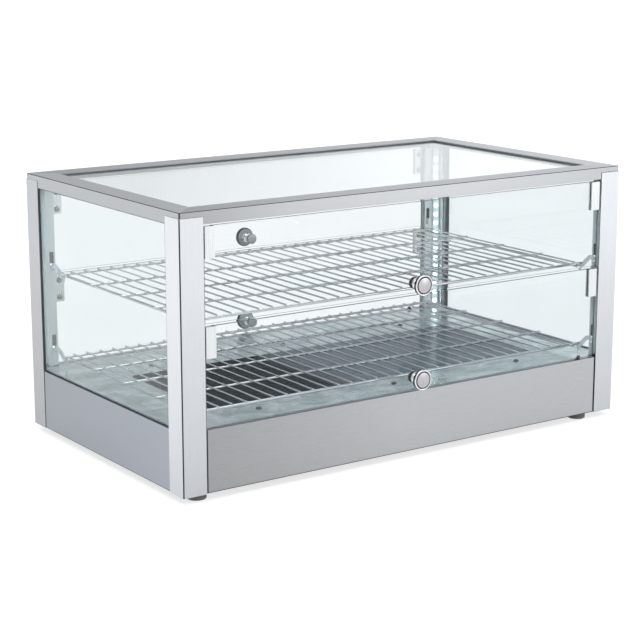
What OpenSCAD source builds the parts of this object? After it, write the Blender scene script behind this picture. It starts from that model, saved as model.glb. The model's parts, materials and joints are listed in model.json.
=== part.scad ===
// Counter-top hot food display case: a heated steel base, four corner posts, a framed glass top,
// fixed glass sides, two rows of top-hinged glass flaps at the front and at the back, and two
// lift-off wire shelves.  Front is -Y, Z = 0 is the plane that the feet stand on.

/* [Case] */
// Outside width over the corner posts
body_w = 850; // [820:1:900]
// Outside depth over the corner posts
body_d = 488; // [470:1:520]
// Height from the feet's soles to the top frame
body_h = 430; // [425:1:440]
// Face width of a corner post
post_w = 40; // [39:1:42]

/* [Base] */
// Height of the rubber feet
foot_h = 12; // [10:1:14]
// Diameter of the rubber feet
foot_d = 30; // [24:1:34]
// Height of the steel base
base_h = 95; // [94:1:96]
// Thickness of the base sheet metal
sheet_t = 1.2; // [1:0.1:1.5]

/* [Glass] */
// Thickness of every pane
glass_t = 5; // [4.5:0.1:5.2]
// Gap between a flap's side edge and the post
flap_side_gap = 3; // [2.5:0.5:4]
// Height of the upper flaps' top edge
upper_top = 407; // [406:0.5:407.5]
// Height of the upper flaps' bottom edge
upper_bottom = 264; // [264:0.5:266]
// Height of the lower flaps' top edge
lower_top = 260.5; // [259:0.5:260.5]

/* [Shelves] */
// Height of the lower shelf's cross wires
lower_shelf_z = 124.5; // [123:0.5:128]
// Height of the upper shelf's cross wires
upper_shelf_z = 263.5; // [260:0.5:266]
// Spacing of the thin wires
wire_pitch = 24.4; // [24:0.1:24.8]
// Diameter of the thin wires
wire_d = 2.8; // [2.4:0.1:3]
// Diameter of the cross wires and of the side wires
rod_d = 4.5; // [4:0.1:4.6]

/* [Knobs] */
// Diameter of a flap knob's head
knob_d = 33; // [28:1:34]
// Height of the upper knobs' axis
upper_knob_z = 279.5; // [279:0.5:284]
// Height of the lower knobs' axis
lower_knob_z = 128.5; // [126:0.5:132]

/* [Hidden] */

e = 0.01;                            // overlap that keeps a cut clear of a face
half_w = body_w / 2;
half_d = body_d / 2;
base_top = foot_h + base_h;          // upper face of the base
tray_z = foot_h;                     // upper face of the tray, which carries the panels
panel_inset = 1;                     // panels and rails stand this far behind the posts' faces

// Corner posts and top frame
post_t = 2;                          // wall of the post extrusion
post_chamfer = 1.6;                  // bevel down a post's outer corner
post_bottom = foot_h - 2;
post_top = body_h - 9;
web_in = 14;                         // the diagonal web's outer face cuts the legs here
web_out = 17;                        // the diagonal web's inner face cuts the legs here
rail_h = 20;                         // height of the top frame's outer flange
rail_w = 40;                         // width of the top frame's upper face
rail_t = 2;
channel_w = 9;                       // bite of the frame on the top pane
seal_t = 1;

// Glass positions, all measured inward from the posts' outer faces
flap_in = 4;                         // outer face of a flap
side_in = 3;                         // outer face of a side pane
flap_half_w = half_w - post_w - flap_side_gap;
lower_bottom = base_top + 2;

// Flap hinges
axis_drop = 5;                       // hinge axis below the flap's top edge
axis_in = flap_in + glass_t / 2;     // hinge axis inward of the post face
pin_d = 3;
pin_fit = 0.05;                      // radial running fit of a pin in its clamp
clamp_w = 17;
clamp_h = 47;
clamp_t = 2.5;
notch_w = 12.5;                      // corner notch of a flap
notch_h = 16.5;
screw_drop = [11.5, 39.5];           // clamp screws below the flap's top edge
screw_in = 8.5;                      // clamp screws from the flap's side edge
screw_d = 4;

// Uprights and hooks, in a corner's own inward axes
upright_u = [26.5, 42];              // face of an upright along X
upright_v = [17, 18.5];              // face of an upright along Y
slot_u = 35.5;
slot_w = 7.5;
slot_h = 30;
slot_rise = 5.5;                     // bottom of a slot above the shelf's cross wires
hook_turn = 21;                      // plan angle of a hook towards the shelf
hook_t = 3;

// Shelves
shelf_half_d = 203;
rod_pitch = shelf_half_d / 2;
side_rod_x = 372;
rod_reach = 384;                     // the cross wires' tips stand past the side wires
thin_count = 31;
weld = 0.4;                          // depth that a thin wire sinks into a cross wire

// Floor, heat plate and what is under them
plate_half_w = 319;
plate_y = [-150, 90];                // front and rear edge of the heat plate
plate_t = 1.5;
floor_lap = 10;                      // the heat plate covers the floor opening by this much
element_d = 8;
element_z = 97;
element_bend = 30;                   // centreline radius of an element bend
element_x = 262;                     // half length of the element's straight runs
foot_x = [34 - half_w, half_w - 61];  // the right feet stand further in than the left
foot_y = half_d - 21;

// Controls on the rear panel
control_z = 58;
thermostat_x = 290;
power_x = 225;
light_x = 190;
lamp_x = 252;
gland_x = -330;
gland_z = 42;
gland_bore_d = 8.4;
rocker_r = 10.5;
rocker_w = 14;
rocker_tilt = 10;                    // a rocker leans this far each way
spindle_d = 6;

// ---------------------------------------------------------------- helpers

// Put children, drawn for the front, at the front (-1) or mirrored to the rear (+1)
module facing(side) {
    mirror([0, side > 0 ? 1 : 0, 0]) children();
}

// Put children, drawn from a corner's outer edge inward along +X and +Y, at one corner
module at_corner(sx, sy) {
    translate([sx * half_w, sy * half_d, 0])
        mirror([sx > 0 ? 1 : 0, 0, 0])
            mirror([0, sy > 0 ? 1 : 0, 0])
                children();
}

module each_corner() {
    for (sx = [-1, 1], sy = [-1, 1]) at_corner(sx, sy) children();
}

// Box from its low corner to its high corner
module box(low, high) {
    translate(low) cube([high[0] - low[0], high[1] - low[1], high[2] - low[2]]);
}

// Cylinder lying along X or along Y, starting at the point given
module x_rod(p, d, length) {
    translate(p) rotate([0, 90, 0]) cylinder(d = d, h = length, $fn = 32);
}

module y_rod(p, d, length) {
    translate(p) rotate([-90, 0, 0]) cylinder(d = d, h = length, $fn = 48);
}

// Closed tube through a list of points, for the internal leads
function unit(v) = v / norm(v);
function lead_tangent(p, i) = unit(p[min(i + 1, len(p) - 1)] - p[max(i - 1, 0)]);
function lead_side(t) = unit(cross(t, [0, 0, 1]));
function lead_ring(p, i, r, n) = let (t = lead_tangent(p, i), s = lead_side(t), u = cross(s, t))
    [for (k = [0 : n - 1]) p[i] + r * (cos(k * 360 / n) * s + sin(k * 360 / n) * u)];
function bezier(a, b, c, d, t) = pow(1 - t, 3) * a + 3 * pow(1 - t, 2) * t * b
    + 3 * (1 - t) * t * t * c + t * t * t * d;

module lead(a, b, c, d, dia) {
    sides = 8;
    rings = 12;
    path = [for (i = [0 : rings - 1]) bezier(a, b, c, d, i / (rings - 1))];
    points = [for (i = [0 : rings - 1]) each lead_ring(path, i, dia / 2, sides)];
    walls = [for (i = [0 : rings - 2], k = [0 : sides - 1])
        each [[i * sides + k, (i + 1) * sides + k, (i + 1) * sides + (k + 1) % sides],
              [i * sides + k, (i + 1) * sides + (k + 1) % sides, i * sides + (k + 1) % sides]]];
    caps = [[for (k = [0 : sides - 1]) k],
            [for (k = [sides - 1 : -1 : 0]) (rings - 1) * sides + k]];
    polyhedron(points, concat(walls, caps));
}

// ---------------------------------------------------------------- base

// Long base panel with a folded top flange and a folded bottom flange, drawn for the front
module long_panel() {
    x = half_w - post_w - 1;
    y = -half_d + panel_inset;
    box([-x, y, foot_h], [x, y + sheet_t, base_top]);
    box([-x, y, base_top - sheet_t], [x, y + 10, base_top]);
    box([-x, y, foot_h], [x, y + 8, foot_h + sheet_t]);
}

// Short base panel of one end, drawn for the left
module end_panel() {
    x = -half_w + panel_inset;
    y = half_d - post_w - 1;
    box([x, -y, foot_h], [x + sheet_t, y, base_top]);
    box([x, -y, base_top - sheet_t], [x + 12, y, base_top]);
    box([x, -y, foot_h], [x + 8, y, foot_h + sheet_t]);
}

module front_panel() {
    color("#b9bcc0") long_panel();
}

module rear_panel() {
    vent_count = 12;
    color("#b9bcc0") difference() {
        facing(1) long_panel();
        y_rod([thermostat_x, half_d - 10, control_z], 10, 20);
        for (x = [power_x, light_x])
            box([x - 8.2, half_d - 10, control_z - 12], [x + 8.2, half_d + 5, control_z + 12]);
        y_rod([lamp_x, half_d - 10, control_z], 8.6, 20);
        y_rod([gland_x, half_d - 10, gland_z], 16.4, 20);
        for (i = [0 : vent_count - 1])
            box([-110 + 16 * i, half_d - 5, 40], [-106 + 16 * i, half_d + 5, 76]);
    }
}

module left_panel() {
    color("#aeb4ba") end_panel();
}

module right_panel() {
    color("#aeb4ba") mirror([1, 0, 0]) end_panel();
}

module base_tray() {
    x = half_w - 12;
    y = half_d - 12;
    edge = 1.5;
    lip = 22;
    corner_cut = 22;
    color("#2b2e31") difference() {
        union() {
            box([edge - half_w, edge - half_d, tray_z - sheet_t], [half_w - edge, half_d - edge, tray_z]);
            for (s = [-1, 1]) {
                translate([0, s * (y - sheet_t / 2), tray_z + lip / 2 - e])
                    cube([2 * x, sheet_t, lip + 2 * e], center = true);
                translate([s * (x - sheet_t / 2), 0, tray_z + lip / 2 - e])
                    cube([sheet_t, 2 * y, lip + 2 * e], center = true);
            }
        }
        each_corner() {
            box([-e, -e, 0], [corner_cut, corner_cut, 60]);
            box([-e, -e, 0], [post_w + 0.5, post_t + 0.5, 60]);
            box([-e, -e, 0], [post_t + 0.5, post_w + 0.5, 60]);
        }
        each_foot() cylinder(d = 5.2, h = 30, $fn = 32);
    }
}

module each_foot() {
    for (x = foot_x, sy = [-1, 1]) translate([x, sy * foot_y, 0]) children();
}

module feet() {
    dish_d = 13;
    top = tray_z - sheet_t;
    color("#4c4f52") each_foot()
        rotate_extrude($fn = 64)
            polygon([[2.6, 6], [dish_d / 2, 6], [dish_d / 2, 0], [foot_d / 2 - 2, 0],
                     [foot_d / 2 - 0.6, 0.8], [foot_d / 2, 2], [foot_d / 2, top - 2],
                     [foot_d / 2 - 1, top], [2.6, top]]);
}

module cross_recess(depth) {
    for (a = [0, 90]) rotate([0, 0, a]) translate([-2.6, -0.5, -depth]) cube([5.2, 1, depth + 1]);
}

// Pan-head screw along -Z with its head's underside at Z = 0
module pan_screw(d, length) {
    head_r = 1.15 * d;
    difference() {
        union() {
            rotate_extrude($fn = 48)
                polygon([[0, 0], [head_r, 0], [head_r, d * 0.2], [head_r * 0.8, d * 0.5],
                         [head_r * 0.4, d * 0.6], [0, d * 0.6]]);
            translate([0, 0, -length]) cylinder(d = d, h = length + e, $fn = 32);
        }
        translate([0, 0, d * 0.6]) cross_recess(d * 0.35);
    }
}

module base_screws() {
    color("#8d9296") {
        for (x = [-257, 0, 257])
            for (y = [-184, 136])
                translate([x, y, base_top]) pan_screw(4, 8);
        each_foot() translate([0, 0, 6]) rotate([180, 0, 0]) pan_screw(5, 14);
    }
}

// ---------------------------------------------------------------- posts, uprights, lights

module post_section() {
    polygon([[post_chamfer, 0], [post_w, 0], [post_w, post_t], [post_t, post_t],
             [post_t, post_w], [0, post_w], [0, post_chamfer]]);
    polygon([[web_in - post_t, post_t], [web_out - post_t, post_t],
             [post_t, web_out - post_t], [post_t, web_in - post_t]]);
}

module post(sx, sy) {
    color("#d9dbe0") at_corner(sx, sy)
        translate([0, 0, post_bottom]) linear_extrude(post_top - post_bottom) post_section();
}

module front_left_post() {
    post(-1, -1);
}

module front_right_post() {
    post(1, -1);
}

module rear_left_post() {
    post(-1, 1);
}

module rear_right_post() {
    post(1, 1);
}

module shelf_uprights() {
    riser = upright_u[0];
    color("#c9cfd2") each_corner() difference() {
        union() {
            box([18, post_t, base_top + 1], [riser + 1.5, post_t + 1.5, 408]);
            box([riser, post_t, base_top + 1], [riser + 1.5, upright_v[1], 408]);
            box([riser, upright_v[0], base_top + 1], [upright_u[1], upright_v[1], 408]);
        }
        for (z = [lower_shelf_z, upper_shelf_z])
            box([slot_u - slot_w / 2, upright_v[0] - 1, z + slot_rise],
                [slot_u + slot_w / 2, upright_v[1] + 1, z + slot_rise + slot_h]);
    }
}

// Side view of a hook: run from the upright's face, then height above the cross wire's centre
module hook_section() {
    face = rod_d / 2 + 0.05;
    wire_s = 24.1;
    saddle = (rod_d / 2 + hook_t / 2 * sin(hook_turn)) / cos(hook_turn) + 0.15;
    polygon([[-4.2, 13], [-4.2, 2], [-2.4, 2], [-2.4, 6.5], [0, 6.5], [4, 8.6], [8, 8.2],
             [15.5, -1], [19, -5.6], [22.8, -6.2], [22.8, -12.5], [26, -12.5], [26, -6],
             [28.8, -3.5], [28.8, 0.5], [wire_s + saddle, 0.5], [wire_s + saddle, -face],
             [wire_s - saddle, -face], [wire_s - saddle, 1.5], [19.5, 5.5], [11, 14.5],
             [7, 15.6], [3, 15], [0, 13]]);
}

module shelf_hooks() {
    color("#bcc4c6") each_corner()
        for (z = [lower_shelf_z, upper_shelf_z])
            translate([slot_u, upright_v[1], z])
                rotate([0, 0, 90 - hook_turn])
                    rotate([90, 0, 0])
                        translate([0, 0, -hook_t / 2])
                            linear_extrude(hook_t) hook_section();
}

// Face of the diagonal web: X across the web, Y out of it, Z up
module on_web() {
    each_corner() translate([web_out / 2, web_out / 2, 0]) rotate([0, 0, -45]) children();
}

led_z = [112, 404];
led_pitch = 16.7;

module led_strips() {
    count = floor((led_z[1] - led_z[0] - 10) / led_pitch);
    color("#f4f7ff") on_web() {
        box([-5, 0, led_z[0]], [5, 1, led_z[1]]);
        for (i = [0 : count])
            box([-2.5, 1 - e, led_z[0] + 5 + i * led_pitch - 2.5],
                [2.5, 2.6, led_z[0] + 5 + i * led_pitch + 2.5]);
    }
}

module led_covers() {
    color("#e8f2f2", 0.5) on_web() difference() {
        box([-8, 0, led_z[0] - 2], [8, 6, led_z[1] + 2]);
        box([-7, -1, led_z[0] - 3], [7, 5, led_z[1] + 3]);
    }
}

// ---------------------------------------------------------------- top frame and fixed glass

// Section of a top rail: X inward from the rail's outer face, Y up from its lower edge
module rail_section() {
    web_x = rail_w - channel_w - rail_t;
    square([rail_t, rail_h]);
    translate([0, rail_h - rail_t]) square([rail_w, rail_t]);
    square([12, 1.5]);
    translate([web_x, rail_h - 10]) square([rail_t, 10]);
    translate([web_x, rail_h - 10]) square([rail_w - web_x, rail_t]);
}

// Mitred rail along X for the front, or for any side of the given half length and depth
module rail(half_len, half_depth) {
    y = -half_depth + panel_inset;
    x = half_len - panel_inset;
    reach = rail_w + 5;
    notch = post_w + 0.5;
    difference() {
        translate([x, y, body_h - rail_h])
            rotate([0, 0, 90]) rotate([90, 0, 0])
                mirror([0, 0, 1]) linear_extrude(2 * x) rail_section();
        for (s = [-1, 1])
            translate([s * x, y, body_h - rail_h - 1]) linear_extrude(rail_h + 2)
                polygon([[-s * post_chamfer, -1], [s * 30, -1], [s * 30, reach], [-s * reach, reach],
                         [-s * post_chamfer / 2, post_chamfer / 2], [-s * post_chamfer, 0]]);
        for (s = [-1, 1])
            translate([s * (half_len - notch / 2), -half_depth + 8, body_h - rail_h])
                cube([notch + e, 24, 2 * (post_top - body_h + rail_h)], center = true);
    }
}

module front_rail() {
    color("#b4b7bc") rail(half_w, half_d);
}

module rear_rail() {
    color("#b4b7bc") facing(1) rail(half_w, half_d);
}

module left_rail() {
    color("#b4b7bc") rotate([0, 0, -90]) rail(half_d, half_w);
}

module right_rail() {
    color("#b4b7bc") rotate([0, 0, 90]) rail(half_d, half_w);
}

glass_top_z = body_h - rail_t - seal_t;

module top_glass() {
    x = half_w - panel_inset - rail_w + channel_w - 1;
    y = half_d - panel_inset - rail_w + channel_w - 1;
    color("#dff0ee", 0.4) box([-x, -y, glass_top_z - glass_t], [x, y, glass_top_z]);
}

module top_glass_seal() {
    x = half_w - panel_inset - rail_w;
    y = half_d - panel_inset - rail_w;
    bite = channel_w - 1;
    show = 2;
    color("#1d2022") difference() {
        box([-x - bite, -y - bite, glass_top_z], [x + bite, y + bite, glass_top_z + seal_t]);
        box([-x + show, -y + show, glass_top_z - 1], [x - show, y - show, glass_top_z + 2]);
    }
}

module side_glass() {
    x = -half_w + side_in;
    y = half_d - 28;
    color("#dff0ee", 0.4) box([x, -y, base_top + 1.5], [x + glass_t, y, 409]);
}

module left_glass() {
    side_glass();
}

module right_glass() {
    mirror([1, 0, 0]) side_glass();
}

module side_glass_seals() {
    x = -half_w + side_in;
    y = half_d - post_w - 1;
    color("#1d2022") for (m = [0, 1]) mirror([m, 0, 0]) {
        box([x - 0.8, -y, base_top], [x + glass_t + 0.8, y, base_top + 1.5]);
        for (s = [-1, 1])
            translate([x - 0.5, s * (half_d - post_w + 1), (base_top + 2 + 409) / 2])
                cube([1, 10, 409 - base_top - 2], center = true);
    }
}

// ---------------------------------------------------------------- flaps

// Every flap module is drawn for the front and takes its flap's own heights

function axis_z(top) = top - axis_drop;

module each_side() {
    for (m = [0, 1]) mirror([m, 0, 0]) children();
}

module flap_glass(top, bottom, knob_z) {
    y = -half_d + flap_in;
    x = flap_half_w;
    color("#dff0ee", 0.4) difference() {
        box([-x, y, bottom], [x, y + glass_t, top]);
        each_side() {
            box([-x - 1, y - 1, top - notch_h], [-x + notch_w, y + glass_t + 1, top + 1]);
            y_rod([-x + screw_in, y - 1, top - screw_drop[1]], 6, glass_t + 2);
        }
        y_rod([0, y - 1, knob_z], 8, glass_t + 2);
    }
}

module flap_clamps(top) {
    y = -half_d + flap_in;
    x = -flap_half_w;
    low = top - 0.5 - clamp_h;
    color("#c5cacd") each_side() {
        difference() {
            box([x, y - clamp_t, low], [x + clamp_w, y, top - 0.5]);
            for (drop = screw_drop) y_rod([x + screw_in, y - 2, top - drop], screw_d, 4);
        }
        difference() {
            union() {
                box([x, y + glass_t, low], [x + clamp_w, y + glass_t + clamp_t, top - 0.5]);
                box([x + 0.3, y + 0.2, top - notch_h + 0.3],
                    [x + notch_w - 0.3, y + glass_t + 1, top - 0.5]);
            }
            for (drop = screw_drop) y_rod([x + screw_in, y - 2, top - drop], screw_d + 0.4, 12);
            x_rod([x - 1, -half_d + axis_in, axis_z(top)], pin_d + 2 * pin_fit, notch_w + 2);
        }
    }
}

module flap_screws(top) {
    y = -half_d + flap_in + glass_t + clamp_t;
    color("#a9aeb1") each_side()
        for (drop = screw_drop)
            translate([-flap_half_w + screw_in, y, top - drop]) rotate([-90, 0, 0]) pan_screw(screw_d, 9);
}

// Knob outline: radius, then distance out from the pane
module knob_section() {
    r = knob_d / 2;
    bore = 3.1;
    polygon([[bore, 0], [8.5, 0], [8.5, 1.6], [7.8, 2.6], [6.2, 3.4], [5.4, 5], [5.2, 8],
             [6, 10.5], [8.5, 12.6], [12, 14.2], [r - 1.4, 16], [r, 18], [r, 20.5],
             [r - 0.8, 22], [r - 1.8, 22.6], [r - 2.8, 22.2], [r - 3.6, 21.6], [r - 4.2, 22.2],
             [0, 22.8], [0, 9], [bore, 9]]);
}

module flap_knob(knob_z) {
    y = -half_d + flap_in;
    color("#c8cacc") translate([0, y, knob_z]) {
        rotate([90, 0, 0]) rotate_extrude($fn = 96) knob_section();
        rotate([-90, 0, 0]) translate([0, 0, glass_t]) rotate_extrude($fn = 64)
            polygon([[0, 0], [9, 0], [9, 3], [8, 4.4], [6, 5], [0, 5]]);
        rotate([90, 0, 0]) translate([0, 0, -glass_t - 1]) cylinder(d = 5.6, h = glass_t + 8, $fn = 32);
    }
}

module front_upper_glass() {
    flap_glass(upper_top, upper_bottom, upper_knob_z);
}

module front_upper_clamps() {
    flap_clamps(upper_top);
}

module front_upper_screws() {
    flap_screws(upper_top);
}

module front_upper_knob() {
    flap_knob(upper_knob_z);
}

module front_lower_glass() {
    flap_glass(lower_top, lower_bottom, lower_knob_z);
}

module front_lower_clamps() {
    flap_clamps(lower_top);
}

module front_lower_screws() {
    flap_screws(lower_top);
}

module front_lower_knob() {
    flap_knob(lower_knob_z);
}

module rear_upper_glass() {
    facing(1) front_upper_glass();
}

module rear_upper_clamps() {
    facing(1) front_upper_clamps();
}

module rear_upper_screws() {
    facing(1) front_upper_screws();
}

module rear_upper_knob() {
    facing(1) front_upper_knob();
}

module rear_lower_glass() {
    facing(1) front_lower_glass();
}

module rear_lower_clamps() {
    facing(1) front_lower_clamps();
}

module rear_lower_screws() {
    facing(1) front_lower_screws();
}

module rear_lower_knob() {
    facing(1) front_lower_knob();
}

block_u = [upright_u[0] + 1.5, post_w];

module hinge_blocks() {
    color("#9da2a6") each_corner()
        for (top = [upper_top, lower_top]) difference() {
            box([block_u[0], post_t + 0.5, axis_z(top) - 7], [block_u[1], upright_v[0], axis_z(top) + 5]);
            x_rod([block_u[0] + 2, axis_in, axis_z(top)], pin_d, block_u[1]);
        }
}

module hinge_pins() {
    color("#d0d3d5") each_corner()
        for (top = [upper_top, lower_top])
            x_rod([block_u[0] + 2, axis_in, axis_z(top)], pin_d, post_w + 12 - block_u[0] - 2);
}

module flap_bumpers() {
    y = -half_d + flap_in + glass_t + 0.4;
    color("#1d2022") for (side = [-1, 1]) facing(side)
        translate([half_w - 72, y, base_top]) {
            translate([-4, 0, 0]) cube([8, 4, 2.5]);
            translate([-2.5, 0, 0]) cube([5, 3, 5.5]);
        }
}

// ---------------------------------------------------------------- shelves

module shelf(z) {
    lift = rod_d / 2 + wire_d / 2 - weld;
    color("#ccd2d4") {
        for (i = [-2 : 2]) x_rod([-rod_reach, i * rod_pitch, z], rod_d, 2 * rod_reach);
        for (s = [-1, 1])
            y_rod([s * side_rod_x, -shelf_half_d - 2, z - rod_d + weld], rod_d, 2 * shelf_half_d + 4);
        for (i = [0 : thin_count - 1])
            y_rod([(i - (thin_count - 1) / 2) * wire_pitch, -shelf_half_d - 2, z + lift],
                  wire_d, 2 * shelf_half_d + 4);
    }
}

module upper_shelf() {
    shelf(upper_shelf_z);
}

module lower_shelf() {
    shelf(lower_shelf_z);
}

// ---------------------------------------------------------------- floor and heating

module floor_plate() {
    x = half_w - 13.5;
    y = half_d - 11.5;
    color("#8fa0a3") difference() {
        box([-x, -y, base_top - sheet_t], [x, y, base_top]);
        each_corner() box([-e, -e, 90], [44, 21, 120]);
        box([-plate_half_w + floor_lap, plate_y[0] + floor_lap, 90],
            [plate_half_w - floor_lap, plate_y[1] - floor_lap, 120]);
        for (sx = [-257, 0, 257])
            for (sy = [-184, 136])
                translate([sx, sy, 90]) cylinder(d = 4.4, h = 30, $fn = 32);
    }
}

module heat_plate() {
    rim = 3;
    color("#33424c") {
        box([-plate_half_w, plate_y[0], base_top], [plate_half_w, plate_y[1], base_top + plate_t]);
        difference() {
            box([-plate_half_w + floor_lap + 0.5, plate_y[0] + floor_lap + 0.5, base_top - rim],
                [plate_half_w - floor_lap - 0.5, plate_y[1] - floor_lap - 0.5, base_top + e]);
            box([-plate_half_w + floor_lap + 2, plate_y[0] + floor_lap + 2, base_top - rim - 1],
                [plate_half_w - floor_lap - 2, plate_y[1] - floor_lap - 2, base_top]);
        }
    }
}

module element_arc(x, y, side) {
    translate([x, y, element_z]) intersection() {
        rotate_extrude($fn = 64) translate([element_bend, 0]) circle(d = element_d, $fn = 32);
        translate([side > 0 ? 0 : -60, -60, -10]) cube([60, 120, 20]);
    }
}

module heating_element() {
    runs = [-120, -60, 0, 60];
    tail_y = 100;
    color("#7b7470") {
        for (y = runs) x_rod([-element_x, y, element_z], element_d, 2 * element_x);
        element_arc(element_x, -90, 1);
        element_arc(-element_x, -30, -1);
        element_arc(element_x, 30, 1);
        x_rod([-element_x - 14, runs[0], element_z], element_d, 15);
        x_rod([-element_x - 14, runs[3], element_z], element_d, 15);
        for (y = [runs[0], runs[3]]) x_rod([-element_x - 26, y, element_z], 4, 13);
    }
}

module element_straps() {
    low = element_z - element_d / 2 - 2;
    color("#a3a8aa") for (x = [-200, 0, 200]) {
        box([x - 8, plate_y[0] + 4, low], [x + 8, plate_y[1] - 4, low + 2]);
        for (y = [plate_y[0] + 4, plate_y[1] - 6])
            box([x - 8, y, low], [x + 8, y + 2, base_top - sheet_t]);
    }
}

module heat_reflector() {
    x = plate_half_w + 4;
    y = [plate_y[0] - 6, plate_y[1] + 6];
    low = 66;
    wall = 1;
    color("#c2c6c8") difference() {
        box([-x, y[0], low], [x, y[1], base_top - sheet_t]);
        box([-x + wall, y[0] + wall, low + wall], [x - wall, y[1] - wall, base_top]);
        for (ty = [-120, 60])
            x_rod([-x - 5, ty, element_z], 12, 20);
    }
}

// ---------------------------------------------------------------- controls and wiring

module thermostat() {
    y = half_d - panel_inset - sheet_t;
    color("#8c8f90") difference() {
        union() {
            box([thermostat_x - 22, y - 34, control_z - 18], [thermostat_x + 22, y, control_z + 18]);
            y_rod([thermostat_x, y - 1, control_z], 9.6, sheet_t + 2);
            for (i = [-1, 1]) box([thermostat_x + i * 12 - 3, y - 42, control_z - 4],
                                  [thermostat_x + i * 12 + 3, y - 33, control_z - 3.2]);
        }
        y_rod([thermostat_x, y - 20, control_z], spindle_d + 0.1, 40);
    }
}

module thermostat_knob() {
    y = half_d + 0.6;
    grips = 18;
    color("#1f2224") difference() {
        union() {
            translate([thermostat_x, y, control_z]) rotate([-90, 0, 0]) rotate_extrude($fn = 96)
                polygon([[0, 0], [19, 0], [19, 2.4], [17, 4], [16, 16], [14.5, 17.6], [0, 18]]);
            y_rod([thermostat_x, y - 20, control_z], spindle_d, 22);
        }
        for (i = [0 : grips - 1])
            translate([thermostat_x, y + 5, control_z]) rotate([-90, 0, 0])
                rotate([0, 0, i * 360 / grips]) translate([17.4, 0, 0]) cylinder(d = 3, h = 20, $fn = 24);
        box([thermostat_x - 0.7, y + 16.6, control_z + 4], [thermostat_x + 0.7, y + 19, control_z + 20]);
    }
}

rocker_y = half_d + 0.5;             // rocking axis, just outside the rear panel

module switch_housings() {
    y = half_d - panel_inset;
    color("#17191b") for (x = [power_x, light_x]) difference() {
        union() {
            box([x - 9.5, y, control_z - 13.5], [x + 9.5, y + 2, control_z + 13.5]);
            box([x - 8, y - 19, control_z - 11.8], [x + 8, y + 1, control_z + 11.8]);
            for (i = [-1, 0, 1]) box([x - 3, y - 27, control_z + i * 7 - 0.4],
                                     [x + 3, y - 18, control_z + i * 7 + 0.4]);
        }
        x_rod([x - rocker_w / 2 - 0.25, rocker_y, control_z], 2 * rocker_r + 0.6, rocker_w + 0.5);
        x_rod([x - rocker_w / 2 - 1.5, rocker_y - 1.5, control_z], 2.1, rocker_w + 3);
    }
}

// A rocker's side view: a disc cut by two shallow faces, leaning as in the off position
module rocker(x) {
    crown = 2.5;
    rise = rocker_r * tan(rocker_tilt);
    translate([x - rocker_w / 2, rocker_y, control_z])
        rotate([rocker_tilt, 0, 0])
            rotate([90, 0, 90]) linear_extrude(rocker_w) intersection() {
                circle(r = rocker_r, $fn = 96);
                polygon([[-6, -rocker_r], [-6, rocker_r], [crown + rise, rocker_r],
                         [crown, 0], [crown + rise, -rocker_r]]);
            }
}

module power_rocker() {
    color("#b3261e") rocker(power_x);
}

module light_rocker() {
    color("#2f8a3c") rocker(light_x);
}

module pilot_lamp() {
    color("#d0551c") translate([lamp_x, half_d - panel_inset, control_z]) rotate([-90, 0, 0]) {
        rotate_extrude($fn = 48)
            polygon([[0, 0], [6, 0], [6, 1.2], [4.6, 1.8], [4, 3.6], [2.4, 4.8], [0, 5.2]]);
        translate([0, 0, -16]) cylinder(d = 8.2, h = 16.5, $fn = 48);
    }
}

module cable_gland() {
    y = half_d - panel_inset;
    color("#202325") translate([gland_x, y, gland_z]) rotate([-90, 0, 0]) difference() {
        union() {
            cylinder(d = 25.4, h = 5, $fn = 6);
            rotate_extrude($fn = 64)
                polygon([[0, 4], [9.5, 4], [10.5, 6], [10.5, 14], [8.5, 18], [6.5, 19], [0, 19]]);
            translate([0, 0, -10]) cylinder(d = 16, h = 11, $fn = 48);
            translate([0, 0, -sheet_t - 4]) cylinder(d = 23, h = 4, $fn = 6);
        }
        translate([0, 0, -20]) cylinder(d = gland_bore_d, h = 50, $fn = 48);
    }
}

module terminal_block() {
    color("#e6e3d8") translate([-300, 178, tray_z]) difference() {
        union() {
            cube([60, 22, 6]);
            for (i = [0 : 2]) translate([3 + i * 19, 2, 0]) cube([16, 18, 18]);
        }
        for (i = [0 : 2]) translate([11 + i * 19, 11, 9]) cylinder(d = 5, h = 20, $fn = 24);
        for (i = [0 : 2]) y_rod([11 + i * 19, -5, 11], 4.2, 40);
    }
}

module led_driver() {
    color("#d9dcdc") translate([-60, 165, tray_z]) difference() {
        union() {
            cube([120, 40, 2.5]);
            translate([10, 0, 0]) cube([100, 40, 26]);
        }
        for (x = [5, 115]) translate([x, 20, -1]) cylinder(d = 4.2, h = 10, $fn = 24);
    }
}

// Internal leads, each one smooth curve between two fittings that leaves both along their own axes
lead_d = 3;
tab_z = [control_z - 7, control_z, control_z + 7];
tab_y = half_d - 28.4;
block_y = [179.8, 198.2];
block_z = tray_z + 11;
driver_z = tray_z + 13.6;
LEADS = [
    [[-251, block_y[0], block_z], [-251, 120, 25], [power_x, 120, 50], [power_x, tab_y, tab_z[0]]],
    [[-270, block_y[0], block_z], [-270, 100, 28], [thermostat_x + 12, 100, 50],
     [thermostat_x + 12, 199, 54]],
    [[power_x, tab_y, tab_z[2]], [power_x, 170, 66], [thermostat_x - 12, 160, 56],
     [thermostat_x - 12, 199, 54]],
    [[power_x, tab_y, tab_z[1]], [power_x, 190, 58], [light_x, 190, 65], [light_x, tab_y, tab_z[2]]],
    [[light_x, tab_y, tab_z[0]], [light_x, 160, 50], [100, 190, driver_z], [50.4, 190, driver_z]],
    [[-50.4, 178, driver_z], [-150, 150, 40], [-380, 150, 60], [-396, 200, 96]],
    [[-50.4, 192, driver_z], [-120, 225, 30], [-289, 228, 26], [-289, block_y[1], block_z]],
    [[lamp_x, 226.4, control_z], [lamp_x, 214, 58], [240, 220, 65], [228.4, 220, 65]]
];

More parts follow.
